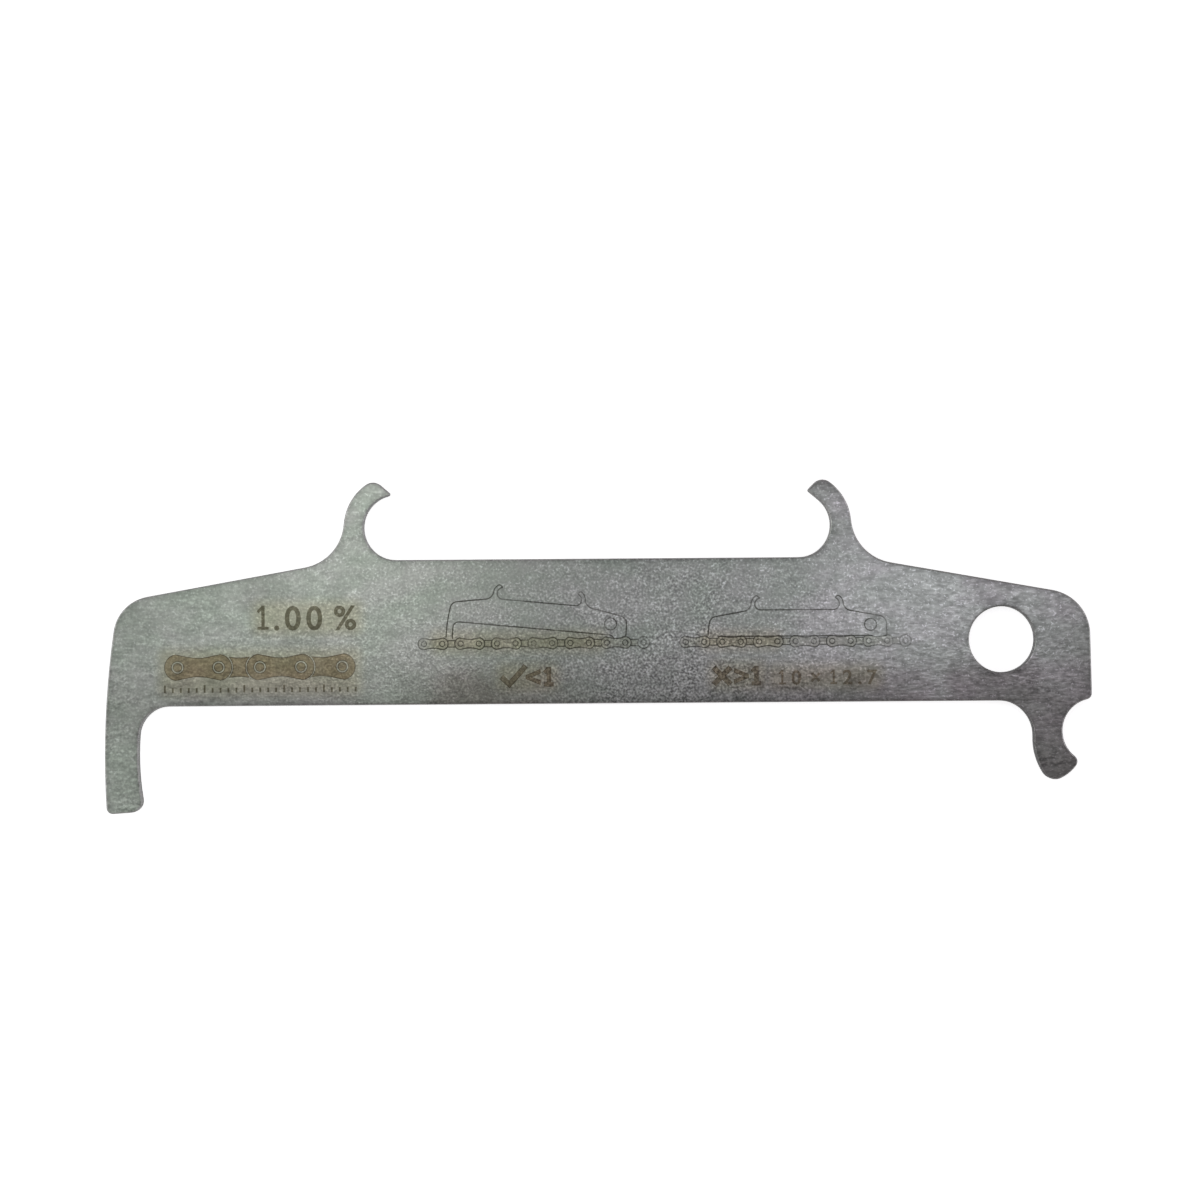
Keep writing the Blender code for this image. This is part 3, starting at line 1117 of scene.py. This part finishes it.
def mark_material(finish):
    """Oxide that a marking laser leaves: the sheet's own grain, darkened and browned."""
    name = finish + "_mark"
    if name in bpy.data.materials:
        return bpy.data.materials[name]
    tint, fading = MARK_TINTS[finish]
    material, tree, shader, place = start_material(name, 1.0)
    face = sheet_finish(tree, place)
    oxide = times(tree, face["Colour"], colour(*tint))
    fade = ranged(tree, noise(tree, place, *MARK_PATCHES), *MARK_FADES, 0.0, fading)
    toned_down = math_of(tree, "MULTIPLY", soft_boxes(tree, place, RUBBED_OFF, RUB_FADE), RUB_SHARE)
    fade = math_of(tree, "MAXIMUM", fade, toned_down)
    feed(tree, shader.inputs["Base Color"], mixed(tree, fade, oxide, face["Colour"]))
    feed(tree, shader.inputs["Roughness"], ranged(tree, face["Tone"], *MARK_ROUGHNESS))
    bumped(tree, shader, face["Height"], *GRAIN_BUMP)
    return material


def sheared_edge():
    """The wall of the sheet: scored and smoother above the tear, rough and darker below it, with painted
    shade on the land towards the leg at the right.
    """
    material, tree, shader, place = start_material("sheared_edge", WALL_METALLIC)
    axes = axes_of(tree, place)
    wave = ranged(tree, noise(tree, place, *WALL_WAVE), *WALL_WAVE_RISE)
    torn = ranged(tree, math_of(tree, "ADD", axes["Z"], wave), *TORN_BELOW)
    scores = noise(tree, stretched(tree, place, WALL_SCORE_STRETCH), *WALL_SCORES)
    rubble = noise(tree, place, *WALL_RUBBLE)
    land = mixed(tree, ranged(tree, scores, *NOISE_SPAN), colour(*LAND_DARK), colour(*LAND_LIGHT))
    # Painted shade: the land is darkened towards the lower right, round the leg.
    right = ranged(tree, axes["X"], *WALL_SHADE_RIGHT)
    down = ranged(tree, axes["Y"], *WALL_SHADE_DOWN)
    land = mixed(tree, math_of(tree, "MULTIPLY", right, down), land, colour(*BLACK))
    rough = mixed(tree, ranged(tree, rubble, *NOISE_SPAN), colour(*TORN_DARK), colour(*TORN_LIGHT))
    feed(tree, shader.inputs["Base Color"], mixed(tree, torn, land, rough))
    feed(tree, shader.inputs["Roughness"], ranged(tree, torn, *WALL_ROUGHNESS))
    shader.inputs["Specular IOR Level"].default_value = WALL_SPECULAR
    shader.inputs["Specular Tint"].default_value = colour(*WALL_SPECULAR_TINT)
    scored = math_of(tree, "MULTIPLY", scores, SCORE_HEIGHT)
    relief = mixed(tree, torn, scored, rubble, kind="FLOAT")
    bumped(tree, shader, relief, *WALL_BUMP)
    return material


def table_top():
    material, tree, shader, place = start_material("pale_table", 0.0)
    fibre = ranged(tree, noise(tree, place, *TABLE_FIBRE), *NOISE_SPAN)
    feed(tree, shader.inputs["Base Color"], mixed(tree, fibre, colour(*TABLE_DARK), colour(*TABLE_LIGHT)))
    shader.inputs["Roughness"].default_value = TABLE_ROUGHNESS
    shader.inputs["Emission Color"].default_value = colour(*WHITE)
    shader.inputs["Emission Strength"].default_value = TABLE_GLOW
    shader.inputs["Specular IOR Level"].default_value = TABLE_SPECULAR
    return material


# Table, lights and camera


def make_table():
    bpy.ops.object.select_all(action="DESELECT")
    bpy.ops.mesh.primitive_plane_add(size=TABLE_SIZE)
    table = bpy.context.object
    table.name = "table"
    table.data.materials.append(table_top())


def make_softbox(name, place, aim, size, radiance, tint):
    lamp = bpy.data.lights.new(name, "AREA")
    lamp.shape = "RECTANGLE"
    lamp.size = size[0] * MM
    lamp.size_y = size[1] * MM
    lamp.energy = radiance * math.pi * lamp.size * lamp.size_y
    lamp.color = tint
    box = bpy.data.objects.new(name, lamp)
    box.location = Vector(place) * MM
    box.rotation_euler = (Vector(aim) * MM - box.location).to_track_quat("-Z", "Y").to_euler()
    box.visible_camera = False
    bpy.context.scene.collection.objects.link(box)


def make_room():
    """Pale walls under a dimmer ceiling, and plain white where the camera looks past the table."""
    world = bpy.data.worlds.new("room")
    bpy.context.scene.world = world
    world.use_nodes = True
    tree = world.node_tree
    light = tree.nodes["Background"]
    way = axes_of(tree, put(tree, "ShaderNodeTexCoord").outputs["Generated"])
    strength = ranged(tree, way["Z"], *WALLS_TO_CEILING, WALL_LIGHT, CEILING_LIGHT)
    feed(tree, light.inputs["Strength"], strength)
    light.inputs["Color"].default_value = colour(*ROOM_COLOUR)
    seen = fed(tree, "ShaderNodeBackground", {"Color": colour(*WHITE), "Strength": 1.0})
    camera_ray = put(tree, "ShaderNodeLightPath").outputs["Is Camera Ray"]
    sources = {0: camera_ray, 1: light.outputs["Background"], 2: seen.outputs["Background"]}
    mix = fed(tree, "ShaderNodeMixShader", sources)
    feed(tree, tree.nodes["World Output"].inputs["Surface"], mix.outputs["Shader"])


def make_camera():
    """Straight over the plate, so far up that its lens takes in just the picture's width."""
    lens = bpy.data.cameras.new("camera")
    lens.lens = LENS
    lens.sensor_width = SENSOR
    lens.clip_start = NEAR_LIMIT
    camera = bpy.data.objects.new("camera", lens)
    distance = PICTURE_WIDTH * LENS / SENSOR
    camera.location = (*PICTURE_CENTRE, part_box(PLATE_NODE)[1].z + distance)
    camera.rotation_euler = (0, 0, CAMERA_ROLL)
    bpy.context.scene.collection.objects.link(camera)
    bpy.context.scene.camera = camera


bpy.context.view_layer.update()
make_marks()
make_plate()
make_table()
make_room()
for softbox in SOFTBOXES:
    make_softbox(*softbox)
make_camera()
bpy.context.scene.view_settings.view_transform = "Standard"
